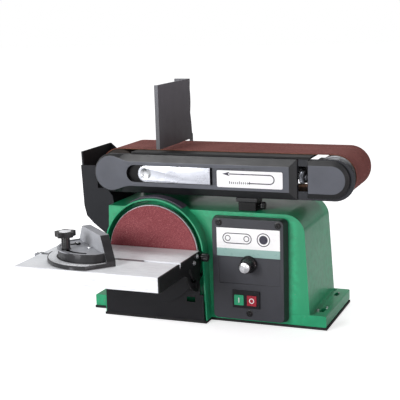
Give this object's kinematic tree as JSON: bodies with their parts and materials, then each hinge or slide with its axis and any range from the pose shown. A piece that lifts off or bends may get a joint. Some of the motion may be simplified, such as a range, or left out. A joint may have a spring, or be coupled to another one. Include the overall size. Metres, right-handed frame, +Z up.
{
  "type": "belt disc sander",
  "caption": "Bench sander with an abrasive belt on a tilting arm, an abrasive disc with a tilting table and a sliding mitre gauge, and a speed control.",
  "frame": {"origin": "on the floor under the middle of the machine's box", "axes": "+X along the sanding belt to the right, +Y from the disc to the back, +Z up"},
  "size_m": [0.474, 0.3596, 0.366],
  "materials": {
    "green_paint": "glossy green paint on a casting",
    "black_plastic": "fine textured black moulding",
    "black_paint": "satin black paint",
    "grey_paint": "dark grey hammered paint",
    "rubber": "matt black rubber",
    "aluminium": "milled aluminium",
    "steel": "plain steel",
    "zinc": "bright zinc plate",
    "abrasive": "aluminium oxide grit on cloth",
    "label": "printed foil label",
    "copper": "enamelled copper wire",
    "circuit_board": "green solder mask",
    "button_green": "glossy green",
    "button_red": "glossy red"
  },
  "bodies": {
    "base": {"base_plate": "rubber", "base_housing": "green_paint", "lower_disc_guard": "black_plastic", "upper_disc_guard": "black_plastic", "disc_dust_port": "black_plastic", "cable_gland": "rubber", "control_panel": "black_plastic", "label_plate": "label", "speed_control_board": "circuit_board", "switch_body": "black_plastic", "motor_housing": "steel", "motor_front_bell": "aluminium", "motor_rear_bell": "aluminium", "motor_front_bearing": "steel", "motor_rear_bearing": "steel", "stator_winding": "copper", "timing_belt": "rubber", "belt_cover": "black_plastic", "arm_support": "black_paint", "drum_bearing": "steel", "dust_hood": "black_plastic", "arm_bracket": "black_paint", "table_bracket_right": "black_paint", "table_bracket_left": "black_paint"},
    "disc_spindle": {"rotor_shaft": "steel", "motor_fan": "black_plastic", "motor_pulley": "steel", "disc_plate": "aluminium", "abrasive_disc": "abrasive"},
    "drum_spindle": {"drum_shaft": "steel", "drive_drum": "rubber", "drum_pulley": "steel"},
    "arm": {"arm_frame": "steel", "platen": "steel", "arm_cover": "black_plastic", "idler_cover": "black_plastic", "arm_label": "label", "sanding_belt": "abrasive", "tension_spring": "steel", "work_stop": "grey_paint", "arm_latch_block": "black_plastic"},
    "tension_lever": {"tension_lever": "zinc"},
    "idler_carriage": {"idler_block": "steel", "idler_shaft": "steel"},
    "idler_roller": {"idler_roller": "aluminium"},
    "tracking_knob": {"tracking_knob": "steel"},
    "arm_lock_screw": {"arm_lock_screw": "black_plastic"},
    "table": {"table": "aluminium", "table_end_plate": "black_paint", "table_ear": "black_paint"},
    "table_lock_knob": {"table_lock_knob": "black_plastic"},
    "mitre_slide": {"mitre_bar": "steel"},
    "mitre_head": {"mitre_head": "black_paint", "mitre_scale": "label", "pivot_screw": "zinc"},
    "mitre_knob": {"mitre_knob": "black_plastic"},
    "speed_knob": {"speed_knob": "black_plastic", "speed_knob_cap": "zinc"},
    "start_button": {"start_button": "button_green"},
    "stop_button": {"stop_button": "button_red"}
  },
  "joints": [
    {"name": "spindle_spin", "type": "hinge", "parent": "base", "child": "disc_spindle", "pos_m": [-0.075, -0.0012, 0.1084], "axis": [0, 1, 0], "continuous": true},
    {"name": "drum_spin", "type": "hinge", "parent": "base", "child": "drum_spindle", "pos_m": [-0.155, 0.0858, 0.229], "axis": [0, 1, 0], "continuous": true},
    {"name": "arm_tilt", "type": "hinge", "parent": "base", "child": "arm", "pos_m": [-0.155, 0.0858, 0.229], "axis": [0, -1, 0], "range_deg": [0, 90]},
    {"name": "tension_release", "type": "hinge", "parent": "arm", "child": "tension_lever", "pos_m": [0.009, 0.0114, 0.2265], "axis": [0, 0, 1], "range_deg": [0, 100]},
    {"name": "idler_tension", "type": "slide", "parent": "arm", "child": "idler_carriage", "axis": [1, 0, 0], "range_m": [-0.0078, 0], "deforming": ["tension_spring"]},
    {"name": "idler_spin", "type": "hinge", "parent": "idler_carriage", "child": "idler_roller", "pos_m": [0.202, 0.0858, 0.229], "axis": [0, 1, 0], "continuous": true},
    {"name": "tracking_turn", "type": "hinge", "parent": "arm", "child": "tracking_knob", "pos_m": [0.157, 0.0204, 0.229], "axis": [1, 0, 0], "range_deg": [-180, 180]},
    {"name": "arm_lock_turn", "type": "hinge", "parent": "base", "child": "arm_lock_screw", "pos_m": [0.091, 0.0248, 0.1815], "axis": [1, 0, 0], "range_deg": [-180, 180]},
    {"name": "table_tilt", "type": "hinge", "parent": "base", "child": "table", "pos_m": [-0.075, -0.0302, 0.1084], "axis": [1, 0, 0], "range_deg": [0, 45]},
    {"name": "table_lock_turn", "type": "hinge", "parent": "base", "child": "table_lock_knob", "pos_m": [0.015, -0.0302, 0.1084], "axis": [1, 0, 0], "range_deg": [-180, 180]},
    {"name": "gauge_slide", "type": "slide", "parent": "table", "child": "mitre_slide", "axis": [1, 0, 0], "range_m": [-0.09, 0.11]},
    {"name": "gauge_swivel", "type": "hinge", "parent": "mitre_slide", "child": "mitre_head", "pos_m": [-0.1292, -0.1025, 0.125], "axis": [0, 0, 1], "range_deg": [-108, 12]},
    {"name": "gauge_knob_turn", "type": "hinge", "parent": "mitre_head", "child": "mitre_knob", "pos_m": [-0.16402, -0.1352, 0.15], "axis": [0, 0, 1], "range_deg": [-180, 180]},
    {"name": "speed_turn", "type": "hinge", "parent": "base", "child": "speed_knob", "pos_m": [0.0807, -0.0212, 0.0975], "axis": [0, 1, 0], "range_deg": [-225, 45]},
    {"name": "start_press", "type": "slide", "parent": "base", "child": "start_button", "axis": [0, 1, 0], "range_m": [0, 0.003], "stiffness_N_per_m": 500, "springref_m": -0.001},
    {"name": "stop_press", "type": "slide", "parent": "base", "child": "stop_button", "axis": [0, 1, 0], "range_m": [0, 0.003], "stiffness_N_per_m": 500, "springref_m": -0.001}
  ],
  "couplings": [
    {"joint": "drum_spin", "follows": "spindle_spin", "ratio": 0.603},
    {"joint": "idler_spin", "follows": "spindle_spin", "ratio": 0.603},
    {"joint": "tension_release", "follows": "idler_tension", "rad_per_m": -218}
  ]
}
